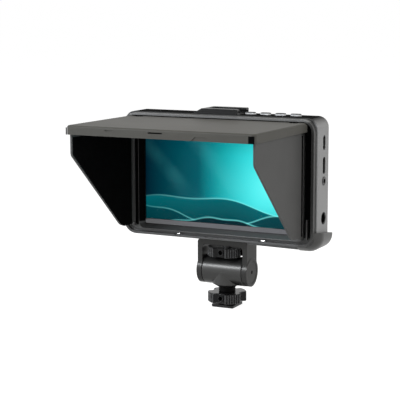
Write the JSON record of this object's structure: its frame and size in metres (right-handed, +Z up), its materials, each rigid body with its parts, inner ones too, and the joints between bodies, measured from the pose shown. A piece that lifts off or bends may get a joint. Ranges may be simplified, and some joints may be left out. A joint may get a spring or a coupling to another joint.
{
  "type": "camera field monitor with sun hood",
  "caption": "On-camera field monitor with a fold-out sun hood, top buttons, side sockets and a tilting shoe mount that slides into an accessory shoe.",
  "frame": {"origin": "centre of the underside of the shoe foot", "axes": "+X to the viewer's right, the screen faces -Y, +Z up out of the foot"},
  "size_m": [0.1608, 0.1244, 0.1503],
  "materials": {
    "hood_plastic": "satin",
    "shell_plastic": "satin",
    "cover_glass": "polished",
    "display_panel": "gloss",
    "white_diffuser": "matte",
    "grey_aluminium": "satin",
    "plain_aluminium": "satin",
    "black_wheel": "matte",
    "black_metal": "satin",
    "steel": "satin",
    "bright_metal": "polished",
    "brass": "satin",
    "gold_contact": "polished",
    "pad_rubber": "matte",
    "board_laminate": "satin",
    "chip_resin": "matte",
    "ribbon_film": "satin",
    "button_cap": "gloss",
    "black_plastic": "satin"
  },
  "bodies": {
    "foot": {"foot_plate": "black_metal", "stem": "black_metal"},
    "lock_nut": {"lock_nut": "black_wheel"},
    "head": {"tilt_barrel": "grey_aluminium", "swivel_collar": "black_metal", "friction_washers": "black_plastic"},
    "monitor": {"tilt_bolt": "grey_aluminium", "tilt_nut": "grey_aluminium", "yoke": "grey_aluminium", "yoke_pad": "pad_rubber", "rear_shell": "shell_plastic", "front_bezel": "shell_plastic", "cover_glass": "cover_glass", "lcd_panel": "display_panel", "backlight_unit": "white_diffuser", "chassis_plate": "plain_aluminium", "threaded_insert": "brass", "case_screws": "steel", "main_board": "board_laminate", "board_chips": "chip_resin", "board_screws": "steel", "display_ribbon": "ribbon_film", "button_board": "board_laminate", "tact_switches": "black_plastic", "data_port": "black_metal", "video_port": "black_metal", "audio_jack": "black_plastic", "audio_collar": "bright_metal", "dc_jack": "black_plastic", "dc_pin": "bright_metal", "cold_shoe": "black_metal", "shoe_screws": "steel", "battery_plate": "black_plastic", "battery_contacts": "gold_contact", "latch_spring": "steel", "hood_frame": "hood_plastic", "lid_pins": "steel", "flap_pins": "steel"},
    "thumb_wheel": {"thumb_wheel": "black_wheel", "mounting_screw": "steel"},
    "lid": {"hood_lid": "hood_plastic"},
    "left_flap": {"left_flap": "hood_plastic"},
    "right_flap": {"right_flap": "hood_plastic"},
    "button_1": {"button_1": "button_cap"},
    "button_2": {"button_2": "button_cap"},
    "button_3": {"button_3": "button_cap"},
    "button_4": {"button_4": "button_cap"},
    "battery_latch": {"battery_latch": "black_plastic"}
  },
  "joints": [
    {"name": "lock_nut_spin", "type": "hinge", "parent": "foot", "child": "lock_nut", "pos_m": [0, 0, 0.0075], "axis": [0, 0, 1], "continuous": true},
    {"name": "pan_swivel", "type": "hinge", "parent": "foot", "child": "head", "pos_m": [0, 0, 0.013], "axis": [0, 0, 1], "continuous": true},
    {"name": "tilt", "type": "hinge", "parent": "head", "child": "monitor", "pos_m": [0, 0, 0.0273], "axis": [1, 0, 0], "range_deg": [-90, 90]},
    {"name": "thumb_wheel_spin", "type": "hinge", "parent": "monitor", "child": "thumb_wheel", "pos_m": [0, 0, 0.0424], "axis": [0, 0, 1], "continuous": true},
    {"name": "lid_hinge", "type": "hinge", "parent": "monitor", "child": "lid", "pos_m": [0, -0.0233, 0.1393], "axis": [-1, 0, 0], "range_deg": [0, 25]},
    {"name": "left_flap_hinge", "type": "hinge", "parent": "monitor", "child": "left_flap", "pos_m": [-0.0679, -0.02155, 0.0967], "axis": [0, 0, 1], "range_deg": [0, 90]},
    {"name": "right_flap_hinge", "type": "hinge", "parent": "monitor", "child": "right_flap", "pos_m": [0.0679, -0.02395, 0.0967], "axis": [0, 0, -1], "range_deg": [0, 90]},
    {"name": "button_1_press", "type": "slide", "parent": "monitor", "child": "button_1", "axis": [0, 0, -1], "range_m": [0, 0.0008], "stiffness_N_per_m": 600, "springref_m": -0.0005},
    {"name": "button_2_press", "type": "slide", "parent": "monitor", "child": "button_2", "axis": [0, 0, -1], "range_m": [0, 0.0008], "stiffness_N_per_m": 600, "springref_m": -0.0005},
    {"name": "button_3_press", "type": "slide", "parent": "monitor", "child": "button_3", "axis": [0, 0, -1], "range_m": [0, 0.0008], "stiffness_N_per_m": 600, "springref_m": -0.0005},
    {"name": "button_4_press", "type": "slide", "parent": "monitor", "child": "button_4", "axis": [0, 0, -1], "range_m": [0, 0.0008], "stiffness_N_per_m": 600, "springref_m": -0.0005},
    {"name": "battery_latch_slide", "type": "slide", "parent": "monitor", "child": "battery_latch", "axis": [0, 0, -1], "range_m": [0, 0.002], "stiffness_N_per_m": 300, "springref_m": -0.0015, "deforming": ["latch_spring"]}
  ]
}
